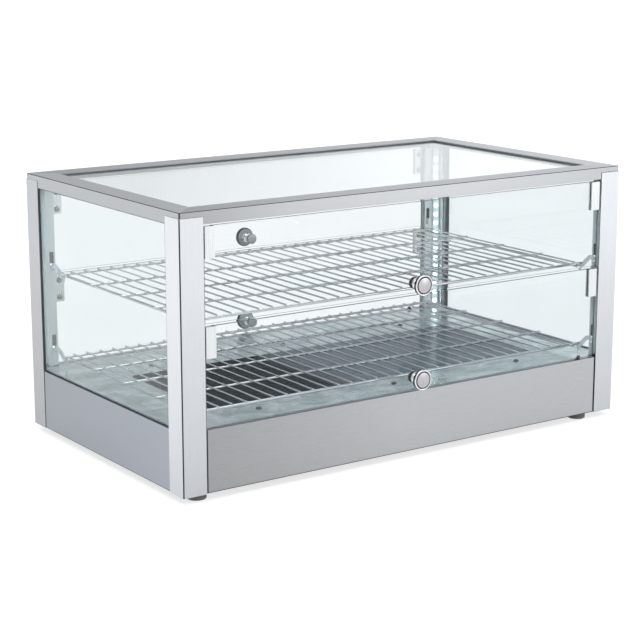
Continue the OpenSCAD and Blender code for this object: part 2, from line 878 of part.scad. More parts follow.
module wiring() {
    color("#8a2f2a") for (p = LEADS) lead(p[0], p[1], p[2], p[3], lead_d);
}

base_tray();
front_panel();
rear_panel();
left_panel();
right_panel();
front_left_post();
front_right_post();
rear_left_post();
rear_right_post();
front_rail();
rear_rail();
left_rail();
right_rail();
top_glass();
top_glass_seal();
left_glass();
right_glass();
side_glass_seals();
shelf_uprights();
shelf_hooks();
hinge_blocks();
hinge_pins();
led_strips();
led_covers();
upper_shelf();
lower_shelf();
floor_plate();
heat_plate();
heating_element();
element_straps();
heat_reflector();
base_screws();
feet();
flap_bumpers();
front_upper_glass();
front_upper_clamps();
front_upper_screws();
front_upper_knob();
front_lower_glass();
front_lower_clamps();
front_lower_screws();
front_lower_knob();
rear_upper_glass();
rear_upper_clamps();
rear_upper_screws();
rear_upper_knob();
rear_lower_glass();
rear_lower_clamps();
rear_lower_screws();
rear_lower_knob();
thermostat();
thermostat_knob();
switch_housings();
power_rocker();
light_rocker();
pilot_lamp();
cable_gland();
terminal_block();
led_driver();
wiring();
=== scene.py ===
"""Hot food display case: finishes, detailed pieces, floor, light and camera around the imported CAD."""

import json
import math

import bmesh
import bpy
from mathutils import Matrix, Vector


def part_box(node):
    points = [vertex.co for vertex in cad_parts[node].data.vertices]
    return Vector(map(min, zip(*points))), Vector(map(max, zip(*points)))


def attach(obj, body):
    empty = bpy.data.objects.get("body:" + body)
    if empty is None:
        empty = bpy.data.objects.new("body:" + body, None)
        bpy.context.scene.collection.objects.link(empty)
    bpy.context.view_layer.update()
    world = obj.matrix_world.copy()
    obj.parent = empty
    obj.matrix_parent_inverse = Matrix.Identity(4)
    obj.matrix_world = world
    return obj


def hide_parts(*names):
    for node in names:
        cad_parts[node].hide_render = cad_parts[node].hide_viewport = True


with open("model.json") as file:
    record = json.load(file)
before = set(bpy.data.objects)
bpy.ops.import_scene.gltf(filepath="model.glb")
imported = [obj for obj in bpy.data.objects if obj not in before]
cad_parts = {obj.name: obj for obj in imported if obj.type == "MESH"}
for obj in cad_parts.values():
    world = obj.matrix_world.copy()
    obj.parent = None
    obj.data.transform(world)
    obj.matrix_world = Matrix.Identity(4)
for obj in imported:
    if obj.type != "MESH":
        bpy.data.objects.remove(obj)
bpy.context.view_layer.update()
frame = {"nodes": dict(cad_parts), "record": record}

MM = 0.001
BODY_OF = {node: body for body, nodes in frame["record"]["behaviour"]["bodies"].items() for node in nodes}


def low(node):
    return Vector(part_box(node)[0])


def high(node):
    return Vector(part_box(node)[1])


HALF_W = high("front_right_post").x
HALF_D = -low("front_left_post").y
SHELVES = ("upper_shelf", "lower_shelf")
SIDES = (-1, 1)


# ---------------------------------------------------------------- camera

VIEW_HEADING = math.radians(34.87)


def make_camera():
    """The camera looks at the case from the left of its front, a little above its top."""
    pitch = math.radians(12.88)
    data = bpy.data.cameras.new("camera")
    data.lens = 99.5
    data.sensor_width = 36
    data.clip_end = 200
    camera = bpy.data.objects.new("camera", data)
    camera.location = (-1.660, -2.362, 0.836)
    camera.rotation_euler = (math.pi / 2 - pitch, 0, -VIEW_HEADING)
    bpy.context.collection.objects.link(camera)
    bpy.context.scene.camera = camera


make_camera()


# ---------------------------------------------------------------- materials

def new_material(name):
    material = bpy.data.materials.new(name)
    material.use_nodes = True
    tree = material.node_tree
    return material, tree, tree.nodes["Principled BSDF"]


def set_sockets(shader, **values):
    for name, value in values.items():
        shader.inputs[name.replace("_", " ")].default_value = value


def grain(tree, scale, detail=3.0, distortion=0.0):
    """Noise in the object's own coordinates, with its own scale along X, Y and Z."""
    nodes, links = tree.nodes, tree.links
    coords = nodes.new("ShaderNodeTexCoord")
    mapping = nodes.new("ShaderNodeMapping")
    mapping.inputs["Scale"].default_value = scale
    noise = nodes.new("ShaderNodeTexNoise")
    noise.inputs["Scale"].default_value = 1.0
    noise.inputs["Detail"].default_value = detail
    noise.inputs["Distortion"].default_value = distortion
    links.new(coords.outputs["Object"], mapping.inputs["Vector"])
    links.new(mapping.outputs["Vector"], noise.inputs["Vector"])
    return noise.outputs["Fac"]


def ramp(tree, source, stops):
    """Colour ramp from (place, colour) stops."""
    node = tree.nodes.new("ShaderNodeValToRGB")
    elements = node.color_ramp.elements
    while len(elements) < len(stops):
        elements.new(0.5)
    for element, (place, colour) in zip(elements, stops):
        element.position = place
        element.color = (*colour, 1)
    tree.links.new(source, node.inputs["Fac"])
    return node.outputs["Color"]


def span(tree, source, to_low, to_high, from_low=0.3, from_high=0.7):
    node = tree.nodes.new("ShaderNodeMapRange")
    node.inputs["From Min"].default_value = from_low
    node.inputs["From Max"].default_value = from_high
    node.inputs["To Min"].default_value = to_low
    node.inputs["To Max"].default_value = to_high
    tree.links.new(source, node.inputs["Value"])
    return node.outputs["Result"]


def bump(tree, shader, source, height, strength=1.0):
    node = tree.nodes.new("ShaderNodeBump")
    node.inputs["Strength"].default_value = strength
    node.inputs["Distance"].default_value = height
    tree.links.new(source, node.inputs["Height"])
    tree.links.new(node.outputs["Normal"], shader.inputs["Normal"])


def shade(colour, factor):
    return tuple(channel * factor for channel in colour)


def along(tree, axis, start, stop, from_value, to_value):
    """A value that changes evenly between two places along one of the object's own axes."""
    coords = tree.nodes.new("ShaderNodeTexCoord")
    split = tree.nodes.new("ShaderNodeSeparateXYZ")
    tree.links.new(coords.outputs["Object"], split.inputs["Vector"])
    return span(tree, split.outputs[axis], from_value, to_value, start, stop)


def scaled(tree, colour, factor):
    node = tree.nodes.new("ShaderNodeVectorMath")
    node.operation = "SCALE"
    tree.links.new(colour, node.inputs[0])
    tree.links.new(factor, node.inputs["Scale"])
    return node.outputs["Vector"]


def metal(name, colour, rough, streak, spread=0.06, height=0.02 * MM, painted_shade=None, metallic=1.0):
    """Brushed or satin metal. streak gives how fine its grain is along X, Y and Z, in waves a metre.

    painted_shade is (axis, start, stop, factor): painted shade that makes the metal darker by that factor
    at the start, and even from the stop on.
    """
    material, tree, shader = new_material(name)
    set_sockets(shader, Metallic=metallic)
    fine = grain(tree, streak, 4.0)
    base = ramp(tree, fine, [(0.3, shade(colour, 1 - spread)), (0.7, shade(colour, 1 + spread))])
    if painted_shade:
        axis, start, stop, factor = painted_shade
        # Painted shade: the base colour darkens along one of the object's own axes.
        base = scaled(tree, base, along(tree, axis, start, stop, factor, 1.0))
    tree.links.new(base, shader.inputs["Base Color"])
    tree.links.new(span(tree, fine, rough - 0.04, rough + 0.04), shader.inputs["Roughness"])
    bump(tree, shader, fine, height, 0.5)
    return material


def moulded(name, colour, rough, pitch=900, height=0.03 * MM, coat=0.0):
    """Plastic or rubber with a fine moulded skin."""
    material, tree, shader = new_material(name)
    set_sockets(shader, Coat_Weight=coat)
    fine = grain(tree, (pitch, pitch, pitch), 2.0)
    broad = grain(tree, (25, 25, 25), 3.0)
    tree.links.new(ramp(tree, broad, [(0.3, shade(colour, 0.88)), (0.7, shade(colour, 1.1))]),
                   shader.inputs["Base Color"])
    tree.links.new(span(tree, fine, rough - 0.06, rough + 0.06), shader.inputs["Roughness"])
    bump(tree, shader, fine, height, 0.4)
    return material


def clear(name, tint, rough=0.0, lamp_share=0.96):
    """Glass that bends what the eye sees through it and lets the lamps' light straight in."""
    material, tree, shader = new_material(name)
    set_sockets(shader, Roughness=rough, IOR=1.5, Transmission_Weight=1.0,
                Specular_Tint=(0.35, 0.35, 0.35, 1))
    smear = grain(tree, (6, 6, 6), 2.0)
    tree.links.new(ramp(tree, smear, [(0.3, shade(tint, 0.985)), (0.7, tint)]), shader.inputs["Base Color"])
    open_way = tree.nodes.new("ShaderNodeBsdfTransparent")
    open_way.inputs["Color"].default_value = (*shade(tint, lamp_share), 1)
    path = tree.nodes.new("ShaderNodeLightPath")
    mix = tree.nodes.new("ShaderNodeMixShader")
    tree.links.new(path.outputs["Is Shadow Ray"], mix.inputs["Fac"])
    tree.links.new(shader.outputs["BSDF"], mix.inputs[1])
    tree.links.new(open_way.outputs["BSDF"], mix.inputs[2])
    tree.links.new(mix.outputs["Shader"], tree.nodes["Material Output"].inputs["Surface"])
    return material


def glass_edge_material():
    """Ground edge of a float-glass pane: deep sea green."""
    material, tree, shader = new_material("glass_edge")
    set_sockets(shader, Roughness=0.3, IOR=1.5)
    drift = grain(tree, (30, 30, 30), 3.0)
    tree.links.new(ramp(tree, drift, [(0.3, (0.030, 0.085, 0.095)), (0.7, (0.070, 0.160, 0.170))]),
                   shader.inputs["Base Color"])
    bump(tree, shader, grain(tree, (700, 700, 700), 2.0), 0.03 * MM, 0.4)
    return material


def heat_plate_material():
    """Dark slate steel plate with a soft gloss, with painted shade at its left end and a painted reflection
    towards its right.
    """
    material, tree, shader = new_material("heat_plate_steel")
    cloud = grain(tree, (5, 9, 9), 4.0, 0.6)
    dark_end, pale_start = -90 * MM, -20 * MM
    slate = ramp(tree, cloud, [(0.3, (0.015, 0.031, 0.045)), (0.7, (0.023, 0.044, 0.060))])
    painted_shade_and_reflection = along(tree, "X", dark_end, pale_start, 0.5, 1.7)
    tree.links.new(scaled(tree, slate, painted_shade_and_reflection), shader.inputs["Base Color"])
    # The specular level rising towards the right is part of the painted reflection.
    tree.links.new(along(tree, "X", dark_end, pale_start, 0.0, 0.17), shader.inputs["Specular IOR Level"])
    tree.links.new(span(tree, grain(tree, (30, 900, 900), 3.0), 0.14, 0.22), shader.inputs["Roughness"])
    return material


def floor_material():
    """Cold-rolled floor sheet, with grey-green clouds under its brushing."""
    material, tree, shader = new_material("floor_steel")
    set_sockets(shader, Metallic=0.9)
    cloud = grain(tree, (14, 22, 22), 6.0, 1.2)
    tree.links.new(ramp(tree, cloud, [(0.34, (0.38, 0.47, 0.48)), (0.50, (0.53, 0.62, 0.63)),
                                      (0.66, (0.68, 0.75, 0.76))]), shader.inputs["Base Color"])
    fine = grain(tree, (25, 700, 700), 4.0)
    tree.links.new(span(tree, fine, 0.18, 0.28), shader.inputs["Roughness"])
    bump(tree, shader, fine, 0.015 * MM, 0.4)
    return material


def glow_material(name, colour, strength):
    """Glowing part of a strip light: the lenses are its lamps, and the glow of the strip's body is painted
    light.
    """
    material, tree, shader = new_material(name)
    set_sockets(shader, Roughness=0.3, Emission_Strength=strength)
    speckle = grain(tree, (300, 300, 300), 1.0)
    tree.links.new(ramp(tree, speckle, [(0.3, shade(colour, 0.92)), (0.7, colour)]),
                   shader.inputs["Base Color"])
    shader.inputs["Emission Color"].default_value = (*colour, 1)
    return material


def lead_material():
    """Silicone leads in three colours, told apart by where they run."""
    material, tree, shader = new_material("lead_insulation")
    set_sockets(shader, Roughness=0.5)
    red, blue, green = (0.30, 0.03, 0.02), (0.04, 0.09, 0.30), (0.22, 0.24, 0.06)
    parts = ramp(tree, grain(tree, (7, 3, 12), 0.0), [(0.40, red), (0.47, blue), (0.55, green)])
    tree.links.new(parts, shader.inputs["Base Color"])
    return material


ALONG_X = (30, 2600, 2600)
ALONG_Y = (2600, 30, 2600)
ALONG_Z = (900, 900, 10)
EVEN = (500, 500, 500)
POLISH = 0.002 * MM
SATIN = 0.003 * MM


def post_metal(name, colour, factor):
    """Satin aluminium, with painted shade that makes it darker by the factor at its foot."""
    return metal(name, colour, 0.30, ALONG_Z, 0.015, POLISH, ("Z", 0.0, 0.32, factor))


M = {
    # The ramps on these steels are painted shade: darker towards the case's left end, and on the end panels
    # towards the rear.
    "brushed_steel": metal("brushed_steel", (0.415, 0.425, 0.435), 0.30, ALONG_X, 0.02, POLISH,
                           ("X", -0.42, -0.02, 0.72)),
    "brushed_steel_end": metal("brushed_steel_end", (0.35, 0.375, 0.415), 0.32, ALONG_Y, 0.02, POLISH,
                               ("Y", 0.24, -0.2, 0.85)),
    "frame_steel": metal("frame_steel", (0.42, 0.43, 0.445), 0.34, ALONG_X, 0.03, SATIN,
                         ("X", -0.42, -0.24, 0.80)),
    "frame_steel_end": metal("frame_steel_end", (0.46, 0.475, 0.495), 0.34, ALONG_Y, 0.03, SATIN),
    "post_aluminium": post_metal("post_aluminium", (0.62, 0.640, 0.670), 0.78),
    # Lit and shaded copies of the post metal for the left posts' outer faces: painted light at the front,
    # painted shade at the rear.
    "post_left_near": post_metal("post_left_near", (0.73, 0.755, 0.79), 0.80),
    "post_left_far": post_metal("post_left_far", (0.50, 0.516, 0.54), 0.74),
    # Painted light: a pale copy for the faces of posts and seals that look into the lit case.
    "post_inside": metal("post_inside", (0.88, 0.92, 0.93), 0.38, ALONG_Z, 0.015, POLISH, metallic=0.2),
    "black_steel": moulded("black_steel", (0.022, 0.024, 0.027), 0.5),
    "galvanised_steel": metal("galvanised_steel", (0.52, 0.54, 0.56), 0.42, (60, 60, 60), 0.18),
    "upright_steel": metal("upright_steel", (0.86, 0.91, 0.93), 0.38, ALONG_Z, 0.04, 0.01 * MM,
                           metallic=0.3),
    "clamp_steel": metal("clamp_steel", (0.66, 0.68, 0.69), 0.26, ALONG_Z, 0.05),
    "floor_steel": floor_material(),
    "heat_plate_steel": heat_plate_material(),
    "element_steel": metal("element_steel", (0.26, 0.22, 0.19), 0.45, (90, 90, 90), 0.2),
    "screw_steel": metal("screw_steel", (0.40, 0.42, 0.43), 0.25, EVEN, 0.08),
    "dark_screw": metal("dark_screw", (0.10, 0.11, 0.115), 0.35, EVEN, 0.1),
    "wire_chrome": metal("wire_chrome", (0.66, 0.68, 0.69), 0.14, EVEN, 0.04),
    "knob_chrome": metal("knob_chrome", (0.74, 0.74, 0.75), 0.08, EVEN, 0.03, 0.005 * MM),
    "knob_face": metal("knob_face", (0.45, 0.44, 0.46), 0.30, (900, 60, 60), 0.08),
    # Painted shade on the chrome knobs: near black under the rolled rim and in the groove, mid grey on the
    # cone and the cap.
    "knob_underside": metal("knob_underside", (0.045, 0.046, 0.05), 0.25, EVEN, 0.1),
    "knob_shade": metal("knob_shade", (0.46, 0.475, 0.485), 0.35, EVEN, 0.05, metallic=0.4),
    "clear_glass": clear("clear_glass", (0.88, 0.898, 0.91)),
    "top_pane": clear("top_pane", (0.87, 0.935, 0.94)),
    "end_glass": clear("end_glass", (0.815, 0.86, 0.868)),
    "glass_edge": glass_edge_material(),
    "clear_plastic": clear("clear_plastic", (0.93, 0.97, 0.97), 0.08),
    # The strip body's glow is painted light; only the lenses are lamps.
    "led_white": glow_material("led_white", (0.78, 0.86, 0.88), 0.45),
    "led_lens": glow_material("led_lens", (0.93, 0.97, 1.0), 8.0),
    "black_rubber": moulded("black_rubber", (0.014, 0.016, 0.018), 0.55),
    "seal_rubber": moulded("seal_rubber", (0.135, 0.150, 0.155), 0.5),
    # Dark joints down the posts, at the panels' ends and at the rails' mitres; on the rails' upper arris
    # the same colour is painted shade.
    "seam_and_painted_shade": moulded("seam_and_painted_shade", (0.012, 0.014, 0.017), 0.7),
    "grey_rubber": moulded("grey_rubber", (0.085, 0.088, 0.090), 0.5),
    # Painted shadow: the colour of the strips set behind the uprights' slots.
    "slot_shadow_paint": moulded("slot_shadow_paint", (0.055, 0.075, 0.090), 0.5),
    "black_plastic": moulded("black_plastic", (0.018, 0.019, 0.020), 0.42),
    "red_plastic": moulded("red_plastic", (0.55, 0.035, 0.02), 0.3, coat=0.3),
    "green_plastic": moulded("green_plastic", (0.03, 0.33, 0.07), 0.3, coat=0.3),
    "amber_plastic": moulded("amber_plastic", (0.75, 0.20, 0.03), 0.18, coat=0.6),
    "ceramic": moulded("ceramic", (0.74, 0.71, 0.62), 0.4),
    "white_plastic": moulded("white_plastic", (0.72, 0.74, 0.74), 0.4),
    "lead_insulation": lead_material(),
}


# ---------------------------------------------------------------- building pieces

def piece_from(bm, name, body, materials, replaces=()):
    """Make an object from bm, let it move with a CAD body, and hide the nodes it stands for."""
    mesh = bpy.data.meshes.new(name)
    bm.to_mesh(mesh)
    bm.free()
    for material in materials:
        mesh.materials.append(material)
    mesh.polygons.foreach_set("use_smooth", [True] * len(mesh.polygons))
    piece = bpy.data.objects.new(name, mesh)
    bpy.context.collection.objects.link(piece)
    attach(piece, body)
    if replaces:
        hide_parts(*replaces)
    return piece


def soften(piece, width, segments=2, angle=35, smooth=True):
    """Round a piece's sharp edges a little, and keep its flat faces flat in shading."""
    piece.data.polygons.foreach_set("use_smooth", [smooth] * len(piece.data.polygons))
    bevel = piece.modifiers.new("edges", "BEVEL")
    bevel.width = width
    bevel.segments = segments
    bevel.limit_method = "ANGLE"
    bevel.angle_limit = math.radians(angle)
    bevel.use_clamp_overlap = True
    if smooth:
        normals = piece.modifiers.new("normals", "WEIGHTED_NORMAL")
        normals.weight = 100


def cad_shell(node):
    """The node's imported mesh, welded, with its flat faces whole."""
    bm = bmesh.new()
    bm.from_mesh(frame["nodes"][node].data)
    bmesh.ops.remove_doubles(bm, verts=bm.verts, dist=0.002 * MM)
    bmesh.ops.dissolve_limit(bm, angle_limit=math.radians(0.5), verts=bm.verts, edges=bm.edges)
    return bm


def slot_name(node):
    return frame["nodes"][node].material_slots[0].material.name.split(".")[0]


def refined(node, width, finish=None, extra=(), segments=2, prepare=None, chamfered=False):
    """Stand-in for a CAD node with rounded edges.

    extra lists (finish, test) for faces that differ. prepare works on the mesh first. A chamfered piece
    keeps its chamfers' edges crisp.
    """
    bm = cad_shell(node)
    if prepare:
        prepare(bm)
    slot = slot_name(node)
    materials = [M[finish or slot]]
    for number, (other, test) in enumerate(extra, 1):
        materials.append(M[other])
        for face in bm.faces:
            if test(face):
                face.material_index = number
    piece = piece_from(bm, node + "_shell", BODY_OF[node], materials, [node])
    soften(piece, width, segments, 50 if chamfered else 35, not chamfered)
    return piece


def lathe(bm, profile, origin, axis, steps=64, material_of=None):
    """Turn a profile of (radius, height) points about an axis. Radius 0 closes an end."""
    turn = Vector((0, 0, 1)).rotation_difference(Vector(axis)).to_matrix()
    rings = []
    for radius, height in profile:
        if radius == 0:
            rings.append([bm.verts.new(Vector(origin) + turn @ Vector((0, 0, height)))])
            continue
        ring = []
        for i in range(steps):
            angle = 2 * math.pi * i / steps
            spot = Vector((radius * math.cos(angle), radius * math.sin(angle), height))
            ring.append(bm.verts.new(Vector(origin) + turn @ spot))
        rings.append(ring)
    for number, (near, far) in enumerate(zip(rings, rings[1:])):
        for i in range(steps):
            j = (i + 1) % steps
            corners = [near[i % len(near)], near[j % len(near)], far[j % len(far)], far[i % len(far)]]
            face = bm.faces.new(list(dict.fromkeys(corners)))
            if material_of:
                face.material_index = material_of[number]


def arc(centre, radius, start, end, steps=5):
    """Points on a round of a profile, with angles in degrees."""
    turns = [math.radians(start + (end - start) * i / steps) for i in range(steps + 1)]
    return [(centre[0] + radius * math.cos(t), centre[1] + radius * math.sin(t)) for t in turns]


def rod(bm, start, end, radius, steps=14):
    """Straight round wire with its ends' rims rounded off."""
    start, end = Vector(start), Vector(end)
    length = (end - start).length
    rim = radius * 0.35
    side = [(radius - rim, 0)] + [(radius - rim + rim * math.sin(a), rim - rim * math.cos(a))
                                  for a in (math.pi / 4, math.pi / 2)]
    profile = [(0, 0)] + side + [(r, length - h) for r, h in reversed(side)] + [(0, length)]
    lathe(bm, profile, start, (end - start).normalized(), steps)


# ---------------------------------------------------------------- wire shelves

ROD_D = 4.5 * MM
WIRE_D = 2.8 * MM
WIRE_PITCH = 24.4 * MM
WIRE_COUNT = 31
WELD = 0.4 * MM
SIDE_ROD_X = 372 * MM
ROD_END = 2 * MM
CROSS_RODS = 5


def weld_spot(bm, centre):
    """Small flattened bead where a thin wire is welded to a cross wire."""
    bead = bmesh.ops.create_uvsphere(bm, u_segments=8, v_segments=6, radius=1.0)
    size = Matrix.Diagonal((WIRE_D * 0.72, ROD_D * 0.42, WIRE_D * 0.42, 1))
    bmesh.ops.transform(bm, matrix=Matrix.Translation(centre) @ size, verts=bead["verts"])


def cross_wire_z(node):
    return high(node).z - WIRE_D - ROD_D / 2 + WELD


def wire_shelf(node):
    lo, hi = low(node), high(node)
    bm = bmesh.new()
    wire_z = hi.z - WIRE_D / 2
    rod_z = cross_wire_z(node)
    side_z = rod_z - ROD_D + WELD
    reach = hi.y - ROD_END
    rows = [reach * (i - 2) / 2 for i in range(CROSS_RODS)]
    for y in rows:
        rod(bm, (lo.x, y, rod_z), (hi.x, y, rod_z), ROD_D / 2)
    for x in (-SIDE_ROD_X, SIDE_ROD_X):
        rod(bm, (x, lo.y, side_z), (x, hi.y, side_z), ROD_D / 2)
    for i in range(WIRE_COUNT):
        x = (i - (WIRE_COUNT - 1) / 2) * WIRE_PITCH
        rod(bm, (x, lo.y, wire_z), (x, hi.y, wire_z), WIRE_D / 2, 12)
        for y in rows:
            weld_spot(bm, (x, y, wire_z - WIRE_D / 2 + 0.1 * MM))
    piece_from(bm, node + "_wires", BODY_OF[node], [M["wire_chrome"]], [node])


for shelf in SHELVES:
    wire_shelf(shelf)


# ---------------------------------------------------------------- flap knobs

def knob_profile():
    """Mushroom knob: foot, waist, head with a rolled rim and a shallow groove, in millimetres."""
    head = 16.5
    return ([(0, 0.05), (8.5, 0.05), (8.5, 1.4)] + arc((7.7, 1.4), 0.8, 10, 80, 3)
            + [(6.3, 3.2), (5.5, 5), (5.2, 8), (5.9, 10.4), (8.5, 12.5), (12, 14.1), (head - 1.6, 15.9)]
            + arc((head - 1.5, 17.6), 1.5, -60, 0, 4) + arc((head - 1.6, 20.9), 1.6, 0, 80, 6)
            + [(head - 2.2, 22.25)] + arc((head - 3.0, 22.3), 0.7, -10, -170, 6)
            + [(head - 4.4, 22.5), (head - 5.2, 22.8), (0, 22.8)])


def knob_bands(profile):
    """Material of each band of the knob: 0 chrome, 1 turned face, 2 painted deep shade under the rim and in
    the groove, 3 painted half shade on the cone.
    """
    cone, rim_under, groove = (12.0, 15.8), (15.8, 19.4), (21.0, 22.23)
    groove_r, face_r, face_h = 14.3, 12.9, 22.0
    bands = []
    for (r, h), (_, next_h) in zip(profile, profile[1:]):
        rising = next_h > h
        if (rising and rim_under[0] < h < rim_under[1]) or (r < groove_r and groove[0] < h < groove[1]):
            bands.append(2)
        elif rising and cone[0] < h < cone[1]:
            bands.append(3)
        else:
            bands.append(1 if h > face_h and r <= face_r else 0)
    return bands


def in_metres(profile):
    return [(r * MM, h * MM) for r, h in profile]


def flap_knob(node):
    lo, hi = low(node), high(node)
    outward = -1 if lo.y < 0 else 1
    pane = outward * (HALF_D - 4 * MM)
    centre = Vector(((lo.x + hi.x) / 2, pane, (lo.z + hi.z) / 2))
    inner = centre + Vector((0, -outward * 5 * MM, 0))
    head = knob_profile()
    cap = [(0, 0.02), (9, 0.02), (9, 2.6)] + arc((7.4, 2.9), 1.6, 0, 80, 5) + [(5.5, 4.9), (0, 5)]
    shank = [(0, -0.5), (2.8, -0.5), (2.8, 5.5), (0, 5.5)]
    bm = bmesh.new()
    lathe(bm, in_metres(head), centre, (0, outward, 0), 96, knob_bands(head))
    # The cap's base and side take the painted deep shade, its rounded face the painted half shade.
    lathe(bm, in_metres(cap), inner, (0, -outward, 0), 64, [2, 2] + [3] * len(cap))
    lathe(bm, in_metres(shank), centre, (0, -outward, 0), 32)
    piece_from(bm, node + "_turned", BODY_OF[node],
               [M["knob_chrome"], M["knob_face"], M["knob_underside"], M["knob_shade"]], [node])


for face in ("front", "rear"):
    for row in ("upper", "lower"):
        flap_knob(f"{face}_{row}_knob")


# ---------------------------------------------------------------- feet

def feet():
    lo, hi = low("feet"), high("feet")
    radius, dish = 15 * MM, 6.5 * MM
    top = hi.z
    profile = ([(0, 6 * MM), (dish, 6 * MM), (dish, 0.4 * MM), (dish + 0.5 * MM, 0), (radius - 2 * MM, 0)]
               + arc((radius - 2 * MM, 2 * MM), 2 * MM, -80, 0, 5)
               + [(radius, top * 0.55), (radius - 0.5 * MM, top * 0.6), (radius - 0.5 * MM, top * 0.66),
                  (radius, top * 0.7), (radius, top - 1.2 * MM), (radius - 1.2 * MM, top), (0, top)])
    bm = bmesh.new()
    for x in (lo.x + radius, hi.x - radius):
        for y in (lo.y + radius, hi.y - radius):
            lathe(bm, profile, (x, y, 0), (0, 0, 1), 48)
    piece_from(bm, "turned_feet", BODY_OF["feet"], [M["grey_rubber"]], ["feet"])


feet()


# ---------------------------------------------------------------- painted shadow strips in the uprights' slots

def painted_slot_shadows():
    """A dark strip close behind each slot's open part, above its hook, that paints the shadow inside the
    slot.
    """
    bm = bmesh.new()
    size = (8.6 * MM, 0.5 * MM, 19.5 * MM)
    from_end, from_front, above_rod = 35.5 * MM, 16.6 * MM, 26.3 * MM
    for shelf in SHELVES:
        z = cross_wire_z(shelf) + above_rod
        for x in [side * (HALF_W - from_end) for side in SIDES]:
            for y in [side * (HALF_D - from_front) for side in SIDES]:
                place = Matrix.Translation((x, y, z)) @ Matrix.Diagonal((*size, 1))
                bmesh.ops.create_cube(bm, size=1, matrix=place)
    strips = piece_from(bm, "painted_slot_shadows", BODY_OF["shelf_uprights"], [M["slot_shadow_paint"]])
    soften(strips, 0.15 * MM)


painted_slot_shadows()


# ---------------------------------------------------------------- stand-ins with rounded edges

POST_WALL = 1.8 * MM
POST_SEAM = 3 * MM
RAIL_SEAM = 5 * MM
RAIL_ARRIS = 3 * MM
SILL_SEAL_TOP = 130 * MM
SQUARE_ON = 0.9


def corner_place(point):
    """Distance of a point inward from the nearest corner's outer faces, along X and along Y."""
    return HALF_W - abs(point.x), HALF_D - abs(point.y)


def faces_corner(face):
    """Whether a face looks out between X and Y."""
    return abs(abs(face.normal.x) - abs(face.normal.y)) < 0.1


def in_seam(face):
    """The narrow bevel down a post's outer corner, which carries the dark joint."""
    return sum(corner_place(face.calc_center_median())) < POST_SEAM and faces_corner(face)


def inside_post(face):
    """Faces of a post that look into the case, which get painted light."""
    return min(corner_place(face.calc_center_median())) > POST_WALL


def on_left_face(face):
    """The outer face of a post on the case's left end; it takes painted light on the front post and painted
    shade on the rear post.
    """
    return face.normal.x < -SQUARE_ON and face.calc_center_median().x < 1 * MM - HALF_W


def seal_faces_inward(face):
    """The upright side seals' faces that look into the case, which get painted light."""
    place = face.calc_center_median()
    return place.x * face.normal.x < -0.5 * abs(place.x) and place.z > SILL_SEAL_TOP


def rail_seam_and_shade_line(face):
    """The same bevel on a mitred rail's end, and the fine bevel along its upper arris, which is painted
    dark as shade.
    """
    u, v = corner_place(face.calc_center_median())
    end = u + v < RAIL_SEAM and faces_corner(face) and abs(face.normal.z) < 0.1
    return end or (0.6 < face.normal.z < 0.8 and min(u, v) < RAIL_ARRIS)


def upper_arris(axis):
    """Bevel a rail's outer upper edge, where axis points out of the rail's flange."""
    def prepare(bm):
        near = 0.1 * MM
        top = max(vert.co.z for vert in bm.verts)
        out = max(abs(vert.co[axis]) for vert in bm.verts)
        on_edge = {vert for vert in bm.verts if vert.co.z > top - near and abs(vert.co[axis]) > out - near}
        edges = [edge for edge in bm.edges if on_edge.issuperset(edge.verts)]
        bmesh.ops.bevel(bm, geom=edges, offset=0.9 * MM, segments=1, affect="EDGES")
    return prepare


PANEL_SEAM_X = HALF_W - 43 * MM


def panel_ends(bm):
    """Part a panel's faces next to the posts, for the dark joint there."""
    for x in (-PANEL_SEAM_X, PANEL_SEAM_X):
        bmesh.ops.bisect_plane(bm, geom=bm.verts[:] + bm.edges[:] + bm.faces[:], plane_co=(x, 0, 0),
                               plane_no=(1, 0, 0))


def by_post(face):
    """A panel's outer and inner faces between its post and the joint."""
    return abs(face.calc_center_median().x) > PANEL_SEAM_X and abs(face.normal.y) > SQUARE_ON


def screw_shadow(node):
    """Test for the rim and the cross recess of a flap's screw heads, which get painted shade."""
    lo, hi = low(node), high(node)
    radius, head = 4.6 * MM, 2.4 * MM
    plate = hi.y - head if lo.y < 0 else lo.y + head

    def test(face):
        place = face.calc_center_median()
        across = min(abs(place.x - x) for x in (lo.x + radius, hi.x - radius))
        along_z = min(abs(place.z - z) for z in (lo.z + radius, hi.z - radius))
        spread, rise = math.hypot(across, along_z), abs(place.y - plate)
        return spread > 0.83 * radius or (spread < 0.62 * radius and rise < 1.95 * MM)
    return test


def on_lens(face):
    """The LED lenses stand proud of their strip."""
    u, v = corner_place(face.calc_center_median())
    return (u + v - 17 * MM) / math.sqrt(2) > 1.3 * MM


def edge_across(axis):
    """Test for a pane's edge faces, where axis is the pane's thickness."""
    return lambda face: abs(face.normal[axis]) < 0.7


# The left faces of the posts get painted light on the front post and painted shade on the rear post.
for corner, left_face_light_and_shade in (("front_left", "post_left_near"), ("front_right", "post_aluminium"),
                            ("rear_left", "post_left_far"), ("rear_right", "post_aluminium")):
    refined(corner + "_post", 0.3 * MM,
            extra=[("seam_and_painted_shade", in_seam), ("post_inside", inside_post), (left_face_light_and_shade, on_left_face)])
for side in ("front", "rear"):
    refined(side + "_rail", 0.7 * MM, extra=[("seam_and_painted_shade", rail_seam_and_shade_line)], prepare=upper_arris(1),
            chamfered=True)
    refined(side + "_panel", 0.4 * MM, extra=[("seam_and_painted_shade", by_post)], prepare=panel_ends)
    for row in ("upper", "lower"):
        refined(f"{side}_{row}_glass", 0.5 * MM, extra=[("glass_edge", edge_across(1))])
        refined(f"{side}_{row}_clamps", 0.3 * MM)
        screws = f"{side}_{row}_screws"
        # Painted shade on the flap screw heads' rims and recesses.
        refined(screws, 0.1 * MM, extra=[("dark_screw", screw_shadow(screws))])
